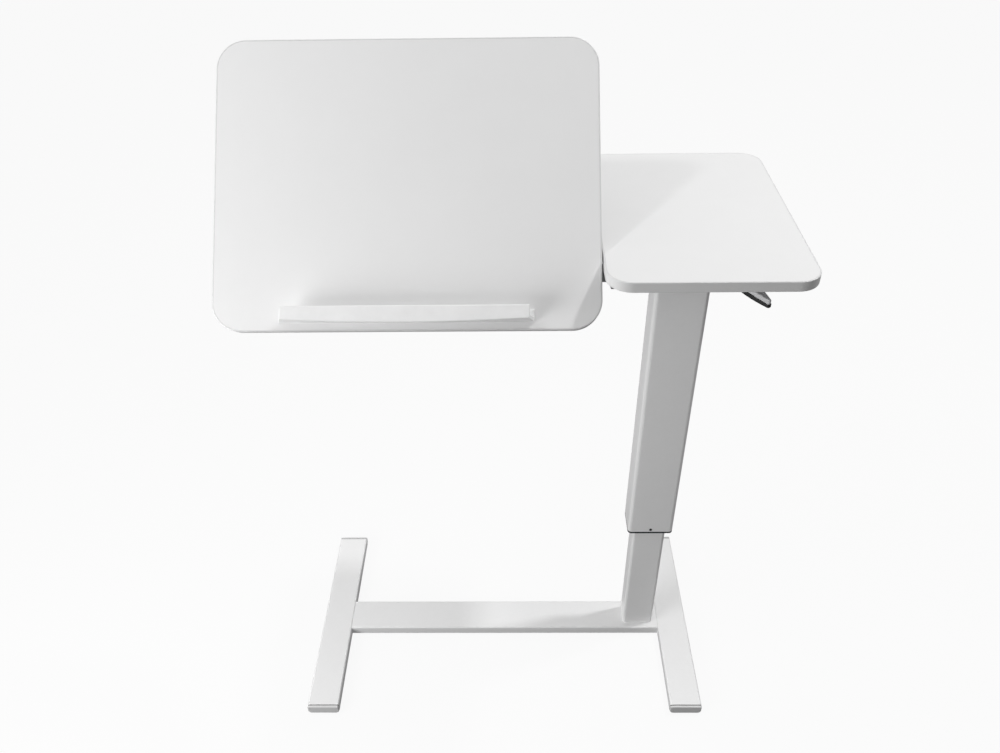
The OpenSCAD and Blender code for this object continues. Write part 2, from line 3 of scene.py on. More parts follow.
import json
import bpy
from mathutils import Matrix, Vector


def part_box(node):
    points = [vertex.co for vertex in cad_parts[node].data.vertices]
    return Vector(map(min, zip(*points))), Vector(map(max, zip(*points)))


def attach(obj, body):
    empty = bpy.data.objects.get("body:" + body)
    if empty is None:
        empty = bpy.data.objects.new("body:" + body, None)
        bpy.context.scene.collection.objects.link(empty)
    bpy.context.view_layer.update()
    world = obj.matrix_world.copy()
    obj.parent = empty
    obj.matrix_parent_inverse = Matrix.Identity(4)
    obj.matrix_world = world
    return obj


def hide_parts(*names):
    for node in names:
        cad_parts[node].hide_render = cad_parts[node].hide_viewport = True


bl_info = {
    "name": "Reading Table",
    "version": (1, 0, 0),
    "blender": (4, 5, 0),
    "location": "View3D > Sidebar > Reading Table",
    "description": "Builds the boards, mouldings, finishes and studio of a tilting reading table",
    "category": "Object",
}

from math import acos, asin, cos, pi, radians, sin

import bmesh
import bpy
from bpy.props import FloatProperty, FloatVectorProperty, IntProperty, PointerProperty
from bpy.types import Operator, Panel, PropertyGroup
from mathutils import Matrix, Vector

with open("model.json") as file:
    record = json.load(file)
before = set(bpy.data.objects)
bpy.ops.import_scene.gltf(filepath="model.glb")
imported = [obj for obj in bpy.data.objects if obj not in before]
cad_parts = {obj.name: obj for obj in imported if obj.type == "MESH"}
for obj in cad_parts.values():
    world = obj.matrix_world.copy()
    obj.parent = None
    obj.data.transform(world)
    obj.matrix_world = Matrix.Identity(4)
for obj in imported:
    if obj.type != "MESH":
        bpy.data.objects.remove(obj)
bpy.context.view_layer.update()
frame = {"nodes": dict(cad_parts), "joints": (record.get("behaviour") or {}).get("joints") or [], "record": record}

MM = 0.001


# ---- Frame ----


def joint(name):
    """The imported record's joint of that name."""
    return next(j for j in frame["joints"] if j["name"] == name)


HINGE = Vector(joint("panel_tilt")["pos_m"])
# The tilt range's lower limit is the flat panel, so it gives the panel's tilt at rest
TILT = -radians(joint("panel_tilt")["range_deg"][0])
TO_PANEL = Matrix.Translation(HINGE) @ Matrix.Rotation(TILT, 4, "X") @ Matrix.Translation(-HINGE)

PIVOT = Vector(joint("lever_lift")["pos_m"])
PIVOT_AXIS = Vector(joint("lever_lift")["axis"])
# The lever's frame: X along the arm away from the column, Z up, at the pivot
LEVER_X = PIVOT_AXIS.cross(Vector((0, 0, -1))).normalized()
LEVER_Y = Vector((0, 0, 1)).cross(LEVER_X)
TO_LEVER = Matrix.Translation(PIVOT) @ Matrix((LEVER_X, LEVER_Y, (0, 0, 1))).transposed().to_4x4()


def local_box(node, matrix):
    """Lowest and highest corner of a node in the frame that matrix leads out of."""
    back = matrix.inverted()
    points = [back @ v.co for v in frame["nodes"][node].data.vertices]
    low = Vector(min(p[i] for p in points) for i in range(3))
    high = Vector(max(p[i] for p in points) for i in range(3))
    return low, high


# ---- Sizes and colours a user would change ----


def size(name, description, millimetres):
    """A length property with its default in millimetres."""
    return FloatProperty(
        name=name, description=description, default=millimetres * MM, min=0.0,
        subtype="DISTANCE", unit="LENGTH", precision=5,
    )


def colour(name, description, red, green, blue):
    """A colour property with its linear default."""
    return FloatVectorProperty(
        name=name, description=description, default=(red, green, blue), size=3,
        min=0.0, max=1.0, subtype="COLOR",
    )


class ReadingTableSizes(PropertyGroup):
    """Roundings and small depths of the visible pieces."""

    band_round: size("Band rounding", "Radius of the edge band's long edges", 1.1)
    seam: size("Seam", "Chamfer that shows the seam between board and band", 0.18)
    cap_round: size("Cap rounding", "Radius round an end cap's outer face", 2.0)
    lip_round: size("Lip rounding", "Radius of the ledge lip's lower outer edge", 1.8)
    ledge_fillet: size("Ledge fillet", "Radius inside the ledge's trough", 1.6)
    paddle_round: size("Paddle rounding", "Radius under the paddle", 3.4)
    paddle_dish: size("Paddle dish", "Depth of the dish in the paddle's upper half", 0.9)
    arris: size("Arris", "Broken edge of plates and blocks", 0.5)
    corner_steps: IntProperty(
        name="Corner steps", description="Steps in a quarter of a board's corner", default=20, min=4
    )


class ReadingTableColours(PropertyGroup):
    """Base colours of the finishes."""

    coat: colour("Coat", "White powder coat on the tubes", 0.89, 0.89, 0.89)
    laminate: colour("Laminate", "Faces of the boards", 0.84, 0.84, 0.84)
    # Painted shade: the band colour is set darker than the laminate so the boards' front edges come out grey
    band: colour("Band", "Edge band of the boards", 0.72, 0.72, 0.72)
    ledge: colour("Ledge", "Book ledge", 0.88, 0.88, 0.88)
    # Painted shade: the cap colour is set darker so the caps' front faces come out in shade
    cap: colour("Cap", "Foot end caps", 0.7, 0.7, 0.7)
    black: colour("Black plastic", "Guide bush and the paddle's lower half", 0.008, 0.008, 0.009)
    grey: colour("Grey plastic", "The paddle's upper half", 0.6, 0.6, 0.61)
    bearing: colour("Bearing plastic", "Bushes and piston", 0.03, 0.03, 0.032)
    rubber: colour("Rubber", "Floor pads", 0.11, 0.11, 0.11)
    zinc: colour("Zinc", "Plated steel", 0.55, 0.56, 0.58)
    grey_coat: colour("Grey coat", "Hinge castings and tilt tube", 0.33, 0.34, 0.35)
    oxide: colour("Black oxide", "Dark screws", 0.03, 0.03, 0.033)
    spring: colour("Spring paint", "Gas spring cylinder", 0.014, 0.014, 0.015)
    chrome: colour("Chrome", "Gas spring rod and pin", 0.72, 0.73, 0.75)


class ReadingTableStudio(PropertyGroup):
    """Camera and lights."""

    lens: FloatProperty(name="Lens", description="Focal length", default=31.097, unit="CAMERA")
    camera: FloatVectorProperty(
        name="Camera", description="Where the camera stands", default=(0.001, -1.138, 1.545),
        subtype="TRANSLATION", unit="LENGTH",
    )
    pitch: FloatProperty(
        name="Pitch", description="How far the camera looks down", default=radians(37.83),
        subtype="ANGLE",
    )
    heading: FloatProperty(
        name="Heading", description="How far the camera looks to the right", default=radians(-1.1),
        subtype="ANGLE",
    )
    roll: FloatProperty(
        name="Roll", description="How far the camera leans", default=radians(-0.98), subtype="ANGLE"
    )
    floor_glow: FloatProperty(name="Floor glow", description="Light given by the floor", default=0.1)
    sky: FloatProperty(name="Surround", description="Light of the surround at the back", default=0.69)
    front_sky: FloatProperty(
        name="Front surround", description="Light of the surround at the front", default=0.18
    )
    left_key: FloatProperty(name="Left key", description="Power of the left light", default=4.8)
    right_key: FloatProperty(name="Right key", description="Power of the right light", default=28.5)
    top_fill: FloatProperty(name="Top fill", description="Power of the overhead light", default=0.5)
    front_fill: FloatProperty(name="Front fill", description="Power of the front light", default=1.0)
    side_fill: FloatProperty(
        name="Side fill", description="Power of the light low on the left", default=14.8
    )


# ---- Mesh work ----


def outline(width, height, radii, steps, inset=0.0):
    """Round-cornered rectangle, anticlockwise; radii go from the upper right corner round."""
    points = []
    for turn, radius in enumerate(radii):
        right = 1 if turn in (0, 3) else -1
        upper = 1 if turn in (0, 1) else -1
        kept = max(radius - inset, 0.05 * MM)
        centre = Vector((right * (width / 2 - inset - kept), upper * (height / 2 - inset - kept)))
        for step in range(steps + 1):
            angle = pi / 2 * (turn + step / steps)
            points.append(centre + kept * Vector((cos(angle), sin(angle))))
    return points


def raised(points, height):
    """The points of a flat outline at a height."""
    return [Vector((p.x, p.y, height)) for p in points]


def rounding(radius, steps):
    """Inset and rise of the points on a quarter-round edge, from the face to the side."""
    return [
        (radius * (1 - sin(pi / 2 * i / steps)), radius * (1 - cos(pi / 2 * i / steps)))
        for i in range(steps + 1)
    ]


def loft(rings, cap_first=True, cap_last=True, joined=False):
    """A mesh through closed rings of the same length; joined runs the last ring to the first."""
    bm = bmesh.new()
    made = [[bm.verts.new(p) for p in ring] for ring in rings]
    pairs = list(zip(made, made[1:]))
    if joined:
        pairs.append((made[-1], made[0]))
    for lower, upper in pairs:
        count = len(lower)
        for i in range(count):
            j = (i + 1) % count
            bm.faces.new((lower[i], lower[j], upper[j], upper[i]))
    if cap_first and not joined:
        bm.faces.new(list(reversed(made[0])))
    if cap_last and not joined:
        bm.faces.new(made[-1])
    bmesh.ops.recalc_face_normals(bm, faces=bm.faces)
    return bm


def add_modifier(obj, kind, **settings):
    modifier = obj.modifiers.new(kind.title(), kind)
    for key, value in settings.items():
        setattr(modifier, key, value)
    return modifier


def make_piece(name, bm, body, slot, replaced=(), place=None, sharp=40.0, bevel=0.0):
    """Turns a bmesh into a piece of the table that rides on a body."""
    if place is not None:
        bm.transform(place)
    mesh = bpy.data.meshes.new(name)
    bm.to_mesh(mesh)
    bm.free()
    for polygon in mesh.polygons:
        polygon.use_smooth = True
    mesh.set_sharp_from_angle(angle=radians(sharp))
    mesh.materials.append(finish(slot))
    obj = bpy.data.objects.new(name, mesh)
    bpy.context.scene.collection.objects.link(obj)
    if bevel:
        add_modifier(obj, "BEVEL", width=bevel, segments=2, limit_method="ANGLE",
                     angle_limit=radians(sharp), harden_normals=True)
    add_modifier(obj, "WEIGHTED_NORMAL", keep_sharp=True)
    if replaced:
        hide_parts(*replaced)
    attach(obj, body)
    return obj


def dress(node, bevel=0.0):
    """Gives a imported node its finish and, where asked, a broken edge."""
    obj = frame["nodes"][node]
    slot = SLOT_OF[node]
    for material_slot in obj.material_slots:
        material_slot.material = finish(slot)
    if bevel:
        add_modifier(obj, "WELD", merge_threshold=0.01 * MM)
        add_modifier(obj, "DECIMATE", decimate_type="DISSOLVE", angle_limit=radians(0.5))
        add_modifier(obj, "BEVEL", width=bevel, segments=2, limit_method="ANGLE",
                     angle_limit=radians(35), harden_normals=False)
        add_modifier(obj, "WEIGHTED_NORMAL", keep_sharp=False)


# ---- Finishes ----


class Tree:
    """Short calls for building a node tree."""

    def __init__(self, tree):
        self.tree = tree

    def add(self, kind, inputs=None, **settings):
        node = self.tree.nodes.new(kind)
        for key, value in settings.items():
            setattr(node, key, value)
        for key, value in (inputs or {}).items():
            if isinstance(value, bpy.types.NodeSocket):
                self.tree.links.new(value, node.inputs[key])
            else:
                node.inputs[key].default_value = value
        return node

    def math(self, operation, first, second=0.0):
        return self.add("ShaderNodeMath", {0: first, 1: second}, operation=operation).outputs[0]

    def spread(self, value, low, high):
        """Maps 0..1 to low..high, where either may be a socket."""
        ends = {"Value": value, "To Min": low, "To Max": high}
        return self.add("ShaderNodeMapRange", ends).outputs["Result"]

    def blend(self, amount, first, second):
        node = self.add("ShaderNodeMix", data_type="RGBA")
        for index, value in ((0, amount), (6, first), (7, second)):
            if isinstance(value, bpy.types.NodeSocket):
                self.tree.links.new(value, node.inputs[index])
            else:
                node.inputs[index].default_value = value
        return node.outputs[2]

    def place(self, stretch=(1, 1, 1)):
        """The surface point in the piece's own frame."""
        point = self.add("ShaderNodeTexCoord").outputs["Object"]
        return self.add("ShaderNodeMapping", {"Vector": point, "Scale": stretch}).outputs[0]

    def noise(self, point, scale, detail=3.0, rough=0.5):
        ends = {"Vector": point, "Scale": scale, "Detail": detail, "Roughness": rough}
        return self.add("ShaderNodeTexNoise", ends).outputs["Fac"]


SOCKETS = {"value": "NodeSocketFloat", "colour": "NodeSocketColor", "vector": "NodeSocketVector"}


def effect(name, inputs, outputs, build):
    """A shader node group with named sockets, built once."""
    if name in bpy.data.node_groups:
        return bpy.data.node_groups[name]
    group = bpy.data.node_groups.new(name, "ShaderNodeTree")
    for label, kind, default in inputs:
        socket = group.interface.new_socket(label, in_out="INPUT", socket_type=SOCKETS[kind])
        socket.default_value = default
    for label, kind in outputs:
        group.interface.new_socket(label, in_out="OUTPUT", socket_type=SOCKETS[kind])
    tree = Tree(group)
    given = tree.add("NodeGroupInput").outputs
    results = build(tree, given)
    tree.add("NodeGroupOutput", dict(zip((label for label, _ in outputs), results)))
    return group


WHITE = (1.0, 1.0, 1.0, 1.0)


def soft_tone():
    """Slow change of colour and gloss over a surface, as from handling and wiping."""

    def build(tree, given):
        wide = tree.noise(tree.place(), given["Size"], 4.0, 0.55)
        close = tree.noise(tree.place(), tree.math("MULTIPLY", given["Size"], 7.0), 3.0)
        mixed = tree.add("ShaderNodeMapRange", {
            "Value": tree.math("ADD", tree.math("MULTIPLY", wide, 0.7), tree.math("MULTIPLY", close, 0.3)),
            "From Min": 0.35, "From Max": 0.65,
        }).outputs["Result"]
        tint = tree.blend(mixed, given["Colour"], given["Other colour"])
        return tint, tree.spread(mixed, given["Least roughness"], given["Most roughness"])

    return effect(
        "Soft tone",
        [("Colour", "colour", WHITE), ("Other colour", "colour", WHITE), ("Size", "value", 6.0),
         ("Least roughness", "value", 0.4), ("Most roughness", "value", 0.5)],
        [("Colour", "colour"), ("Roughness", "value")],
        build,
    )


def fine_relief():
    """Close grain: orange peel of a coat, or the texture of a moulding."""

    def build(tree, given):
        coarse = tree.noise(tree.place(), given["Grain"], 2.0, 0.45)
        fine = tree.noise(tree.place(), tree.math("MULTIPLY", given["Grain"], 3.1), 1.0)
        height = tree.math("ADD", coarse, tree.math("MULTIPLY", fine, 0.35))
        bump = tree.add("ShaderNodeBump", {"Strength": 1.0, "Distance": given["Depth"], "Height": height})
        return bump.outputs["Normal"], height

    return effect(
        "Fine relief",
        [("Grain", "value", 900.0), ("Depth", "value", 0.00003)],
        [("Normal", "vector"), ("Height", "value")],
        build,
    )


def edge_rub():
    """Paler or darker colour where an outer edge is rubbed, broken up by noise."""

    def build(tree, given):
        sharp = tree.add("ShaderNodeNewGeometry").outputs["Pointiness"]
        edge = tree.add("ShaderNodeMapRange", {"Value": sharp, "From Min": 0.52, "From Max": 0.6})
        patchy = tree.noise(tree.place(), 160.0, 4.0, 0.6)
        mask = tree.math("MULTIPLY", edge.outputs["Result"], tree.math("MULTIPLY", patchy, given["Amount"]))
        return tree.blend(mask, given["Colour"], given["Rubbed colour"]), mask

    return effect(
        "Edge rub",
        [("Colour", "colour", WHITE), ("Rubbed colour", "colour", WHITE), ("Amount", "value", 0.5)],
        [("Colour", "colour"), ("Mask", "value")],
        build,
    )


def settled_dust():
    """Thin dust on faces that look up, thicker in patches."""

    def build(tree, given):
        normal = tree.add("ShaderNodeNewGeometry").outputs["Normal"]
        up = tree.add("ShaderNodeSeparateXYZ", {"Vector": normal}).outputs["Z"]
        flat = tree.add("ShaderNodeMapRange", {"Value": up, "From Min": 0.6, "From Max": 1.0})
        patchy = tree.noise(tree.place(), 38.0, 5.0, 0.65)
        mask = tree.math("MULTIPLY", flat.outputs["Result"], tree.math("MULTIPLY", patchy, given["Amount"]))
        return tree.blend(mask, given["Colour"], given["Dust colour"]), mask

    return effect(
        "Settled dust",
        [("Colour", "colour", WHITE), ("Dust colour", "colour", WHITE), ("Amount", "value", 0.1)],
        [("Colour", "colour"), ("Mask", "value")],
        build,
    )


def plated_patches():
    """Crystal patches and faint streaks of zinc plating."""

    def build(tree, given):
        cells = tree.add("ShaderNodeTexVoronoi", {"Vector": tree.place(), "Scale": 220.0})
        cell = tree.add("ShaderNodeSeparateColor", {"Color": cells.outputs["Color"]}).outputs["Red"]
        streak = tree.noise(tree.place((1.0, 0.04, 1.0)), 900.0, 2.0)
        mixed = tree.math("ADD", tree.math("MULTIPLY", cell, 0.45), tree.math("MULTIPLY", streak, 0.55))
        tint = tree.blend(mixed, given["Colour"], given["Other colour"])
        bump = tree.add("ShaderNodeBump", {"Strength": 1.0, "Distance": 0.00001, "Height": streak})
        rough = tree.spread(mixed, given["Least roughness"], given["Most roughness"])
        return tint, rough, bump.outputs["Normal"]

    return effect(
        "Plated patches",
        [("Colour", "colour", WHITE), ("Other colour", "colour", WHITE),
         ("Least roughness", "value", 0.25), ("Most roughness", "value", 0.42)],
        [("Colour", "colour"), ("Roughness", "value"), ("Normal", "vector")],
        build,
    )


def new_material(name):
    material = bpy.data.materials.new(name)
    material.use_nodes = True
    material.node_tree.nodes.clear()
    return material, Tree(material.node_tree)


def close_material(tree, colour_socket, rough_socket, normal_socket, **settings):
    """Adds the surface shader; settings are its uniform values by input name."""
    shader = tree.add("ShaderNodeBsdfPrincipled", {
        "Base Color": colour_socket, "Roughness": rough_socket, "Normal": normal_socket,
    })
    for key, value in settings.items():
        shader.inputs[key.replace("_", " ")].default_value = value
    tree.add("ShaderNodeOutputMaterial", {"Surface": shader.outputs[0]})


def shade(base, factor):
    """A lighter or darker version of a colour, with alpha."""
    return tuple(min(1.0, c * factor) for c in base) + (1.0,)


def toned(tree, base, change, tone_size, least, most):
    """The tone group placed in a material; returns its colour and roughness."""
    group = tree.add("ShaderNodeGroup", node_tree=soft_tone())
    group.inputs["Colour"].default_value = shade(base, 1 - change)
    group.inputs["Other colour"].default_value = shade(base, 1 + change)
    group.inputs["Size"].default_value = tone_size
    group.inputs["Least roughness"].default_value = least
    group.inputs["Most roughness"].default_value = most
    return group.outputs["Colour"], group.outputs["Roughness"]


def relief(tree, grain, depth):
    """The relief group placed in a material; returns its normal."""
    group = tree.add("ShaderNodeGroup", node_tree=fine_relief())
    group.inputs["Grain"].default_value = grain
    group.inputs["Depth"].default_value = depth
    return group.outputs["Normal"]


def rubbed(tree, colour_socket, rubbed_colour, amount):
    group = tree.add("ShaderNodeGroup", {"Colour": colour_socket}, node_tree=edge_rub())
    group.inputs["Rubbed colour"].default_value = rubbed_colour
    group.inputs["Amount"].default_value = amount
    return group.outputs["Colour"]


def dusted(tree, colour_socket, amount):
    group = tree.add("ShaderNodeGroup", {"Colour": colour_socket}, node_tree=settled_dust())
    group.inputs["Dust colour"].default_value = (0.55, 0.54, 0.52, 1.0)
    group.inputs["Amount"].default_value = amount
    return group.outputs["Colour"]


def powder_coat(name, base):
    """Satin powder coat: orange peel, slow tone, edges where the coat draws thin."""
    material, tree = new_material(name)
    tint, rough = toned(tree, base, 0.012, 5.0, 0.36, 0.46)
    tint = dusted(tree, rubbed(tree, tint, shade(base, 0.9), 0.35), 0.05)
    close_material(tree, tint, rough, relief(tree, 620.0, 0.00005), Specular_IOR_Level=0.5)
    return material


def faced_board(name, base):
    """Melamine facing: a very fine pressed texture and a soft sheen."""
    material, tree = new_material(name)
    tint, rough = toned(tree, base, 0.008, 4.0, 0.4, 0.5)
    close_material(tree, dusted(tree, tint, 0.03), rough, relief(tree, 1500.0, 0.000006))
    return material


def edge_banding(name, base):
    """Edge band: smoother than the facing, with fine scraper lines."""
    material, tree = new_material(name)
    tint, rough = toned(tree, base, 0.012, 11.0, 0.38, 0.48)
    lines = tree.noise(tree.place((1.0, 1.0, 60.0)), 40.0, 3.0)
    bump = tree.add("ShaderNodeBump", {
        "Strength": 1.0, "Distance": 0.000006, "Height": lines, "Normal": relief(tree, 1900.0, 0.000005),
    })
    close_material(tree, rubbed(tree, tint, shade(base, 0.94), 0.4), rough, bump.outputs["Normal"])
    return material


def moulded_plastic(name, base, least, most, grain, depth, rub):
    """Moulded plastic with a spark-eroded texture and rubbed edges."""
    material, tree = new_material(name)
    tint, rough = toned(tree, base, 0.03, 14.0, least, most)
    pale = shade(tuple(c + 0.05 for c in base), 1.0)
    tint = dusted(tree, rubbed(tree, tint, pale, rub), 0.04)
    close_material(tree, tint, rough, relief(tree, grain, depth))
    return material


def plated_steel(name, base):
    """Zinc plated steel."""
    material, tree = new_material(name)
    group = tree.add("ShaderNodeGroup", node_tree=plated_patches())
    group.inputs["Colour"].default_value = shade((base[0] * 0.9, base[1] * 0.9, base[2] * 0.88), 1.0)
    group.inputs["Other colour"].default_value = shade((base[0], base[1], base[2] * 1.04), 1.12)
    tint = rubbed(tree, group.outputs["Colour"], shade(base, 1.3), 0.5)
    close_material(tree, tint, group.outputs["Roughness"], group.outputs["Normal"], Metallic=1.0)
    return material


def dark_steel(name, base):
    """Oxide-blacked steel, bare on its edges."""
    material, tree = new_material(name)
    tint, rough = toned(tree, base, 0.15, 90.0, 0.32, 0.5)
    tint = rubbed(tree, tint, (0.12, 0.12, 0.125, 1.0), 0.35)
    close_material(tree, tint, rough, relief(tree, 1400.0, 0.00002), Metallic=0.6)
    return material


def chromed(name, base):
    """Ground and chromed rod with faint lengthwise wear."""
    material, tree = new_material(name)
    tint, _ = toned(tree, base, 0.03, 20.0, 0.0, 1.0)
    streak = tree.noise(tree.place((40.0, 40.0, 1.0)), 30.0, 3.0)
    bump = tree.add("ShaderNodeBump", {"Strength": 1.0, "Distance": 0.000004, "Height": streak})
    close_material(tree, tint, tree.spread(streak, 0.06, 0.16), bump.outputs["Normal"], Metallic=1.0)
    return material


def finish(slot):
    """The finish of a material slot, made when it is first asked for."""
    if slot in bpy.data.materials and "made_here" in bpy.data.materials[slot]:
        return bpy.data.materials[slot]
    if slot in bpy.data.materials:
        bpy.data.materials[slot].name = slot + "_plain"
    c = bpy.context.scene.reading_table_colours
    makers = {
        "white_powder_coat": lambda: powder_coat(slot, c.coat),
        "grey_powder_coat": lambda: powder_coat(slot, c.grey_coat),
        "black_cylinder_paint": lambda: moulded_plastic(slot, c.spring, 0.22, 0.32, 500.0, 0.00002, 0.3),
        "white_laminate_board": lambda: faced_board(slot, c.laminate),
        "white_edge_band": lambda: edge_banding(slot, c.band),
        "white_ledge_plastic": lambda: moulded_plastic(slot, c.ledge, 0.3, 0.4, 1300.0, 0.000012, 0.1),
        "white_cap_plastic": lambda: moulded_plastic(slot, c.cap, 0.42, 0.52, 1500.0, 0.00003, 0.2),
        "black_plastic": lambda: moulded_plastic(slot, c.black, 0.4, 0.52, 1600.0, 0.00004, 0.5),
        "grey_plastic": lambda: moulded_plastic(slot, c.grey, 0.36, 0.46, 1600.0, 0.00003, 0.3),
        "bearing_plastic": lambda: moulded_plastic(slot, c.bearing, 0.34, 0.42, 900.0, 0.00001, 0.3),
        "grey_pad_rubber": lambda: moulded_plastic(slot, c.rubber, 0.75, 0.88, 700.0, 0.00006, 0.3),
        "zinc_steel": lambda: plated_steel(slot, c.zinc),
        "black_oxide_steel": lambda: dark_steel(slot, c.oxide),
        "chrome_rod": lambda: chromed(slot, c.chrome),
    }
    material = makers[slot]()
    material["made_here"] = True
    return material


SLOT_OF = {row["node"]: row["material_slot"] for row in frame["record"]["subparts"]}


# ---- Boards ----


def board_piece(name, board_node, band_node, matrix, body):
    """A faced board with a fine chamfer at the seam, and the rounded edge band round it."""
    s = bpy.context.scene.reading_table_sizes
    low, high = local_box(band_node, matrix)
    inner_low, _ = local_box(board_node, matrix)
    band_t = inner_low.x - low.x
    width, depth = high.x - low.x, high.y - low.y
    centre = Matrix.Translation(((low.x + high.x) / 2, (low.y + high.y) / 2, 0))
    radius = corner_radius(band_node, matrix)
    steps = s.corner_steps

    def ring(inset, z):
        return raised(outline(width, depth, (radius,) * 4, steps, inset), z)

    board = loft([
        ring(band_t + s.seam, low.z),
        ring(band_t, low.z + s.seam),
        ring(band_t, high.z - s.seam),
        ring(band_t + s.seam, high.z),
    ])
    make_piece(name + "_board", board, body, SLOT_OF[board_node], (board_node,), matrix @ centre)

    edge = rounding(s.band_round, 5)
    rings = [ring(band_t, low.z + s.seam), ring(band_t - s.seam * 0.5, low.z)]
    rings += [ring(inset, low.z + rise) for inset, rise in edge]
    rings += [ring(inset, high.z - rise) for inset, rise in reversed(edge)]
    rings += [ring(band_t - s.seam * 0.5, high.z), ring(band_t, high.z - s.seam)]
    band = loft(rings, joined=True)
    make_piece(name + "_edge_band", band, body, SLOT_OF[band_node], (band_node,), matrix @ centre)


def corner_radius(band_node, matrix):
    """A band's corner radius: how far in its straight front edge begins."""
    low, _ = local_box(band_node, matrix)
    back = matrix.inverted()
    points = [back @ v.co for v in frame["nodes"][band_node].data.vertices]
    return min(p.x for p in points if abs(p.y - low.y) < 0.01 * MM) - low.x


class READINGTABLE_OT_boards(Operator):
    """Makes the side top and the reading panel"""

    bl_idname = "reading_table.boards"
    bl_label = "Boards"

    def execute(self, context):
        board_piece("side_top", "side_board", "side_edge_band", Matrix.Identity(4), "lift")
        board_piece("reading_panel", "panel_board", "panel_edge_band", TO_PANEL, "panel")
        return {"FINISHED"}


# ---- Book ledge ----

LEDGE_WALL = 3 * MM
LEDGE_LIP = 4 * MM
LEDGE_FLANGE_TOP = 27 * MM
LEDGE_END_BEVEL = 0.25 * MM


def ledge_section(s, low_edge, sizes):
    """Closed section of the ledge at one station: (up the panel, out from it) pairs."""
    root, top = sizes["root"], sizes["flange_top"]
    flange, floor, out, lip_top = sizes["flange"], sizes["floor_top"], sizes["out"], sizes["lip_top"]
    lip_in = out - sizes["lip"]
    fillet, lower = s.ledge_fillet, s.lip_round
    half_lip = sizes["lip"] / 2
    points = [(root, 0.0), (top, 0.0)]
    points += arc(top - flange * 0.5, flange * 0.5, flange * 0.5, 0, 90, 4)
    points += [(floor + fillet, flange)]
    points += arc(floor + fillet, flange + fillet, fillet, -90, -180, 5)[1:]
    points += arc(floor + fillet, lip_in - fillet, fillet, 180, 90, 5)
    points += arc(lip_top - half_lip, out - half_lip, half_lip, -90, 90, 10)
    points += arc(low_edge + lower, out - lower, lower, 90, 205, 8)
    return points


def arc(up, out, radius, first, last, steps):
    """Points of an arc in the section's plane; 0 degrees is up the panel, 90 is out."""
    angles = [radians(first + (last - first) * i / steps) for i in range(steps + 1)]
    return [(up + radius * cos(a), out + radius * sin(a)) for a in angles]


class READINGTABLE_OT_book_ledge(Operator):
    """Makes the book ledge, a moulding with a bowed lip and slanted ends"""

    bl_idname = "reading_table.book_ledge"
    bl_label = "Book ledge"

    stations: IntProperty(name="Stations", description="Sections along the ledge", default=48, min=8)

    def execute(self, context):
        s = context.scene.reading_table_sizes
        low, high = local_box("book_ledge", TO_PANEL)
        vertices = [TO_PANEL.inverted() @ v.co for v in frame["nodes"]["book_ledge"].data.vertices]
        lip_half = max(abs(v.x - (low.x + high.x) / 2) for v in vertices if v.z > high.z - 0.1 * MM)
        half = (high.x - low.x) / 2
        centre_x = (low.x + high.x) / 2
        out = high.z - low.z
        panel_edge = local_box("panel_edge_band", TO_PANEL)[0].y
        mid_low = low.y - panel_edge
        end_low = min(v.y for v in vertices if abs(v.x - centre_x) > lip_half - 1 * MM) - panel_edge
        screws_y = local_box("ledge_screws", TO_PANEL)
        floor_mid = (screws_y[0].y + screws_y[1].y) / 2 - panel_edge
        sizes = {
            "root": floor_mid - LEDGE_WALL, "floor_top": floor_mid + LEDGE_WALL, "flange": LEDGE_WALL,
            "flange_top": LEDGE_FLANGE_TOP, "out": out, "lip": LEDGE_LIP, "lip_top": high.y - panel_edge,
        }
        rings = []
        for i in range(self.stations + 1):
            t = 2 * i / self.stations - 1
            low_edge = mid_low + (end_low - mid_low) * t * t
            ring = []
            for up, outward in ledge_section(s, low_edge, sizes):
                reach = half + (lip_half - half) * max(outward, 0.0) / out
                ring.append(Vector((centre_x + t * reach, panel_edge + up, low.z + outward)))
            rings.append(ring)
        make_piece("book_ledge_moulding", loft(rings), "panel", SLOT_OF["book_ledge"],
                   ("book_ledge",), TO_PANEL, sharp=48.0, bevel=LEDGE_END_BEVEL)
        return {"FINISHED"}


# ---- Base ----

CAP_UPPER_CORNER = 3 * MM
CAP_LOWER_CORNER = 7 * MM
CAP_PLUG_INSET = 2 * MM
CAP_GAP = 1.8 * MM
CAP_GAP_DEPTH = 2.5 * MM
CAP_NODES = ("front_left_end_cap", "rear_left_end_cap", "front_right_end_cap", "rear_right_end_cap")


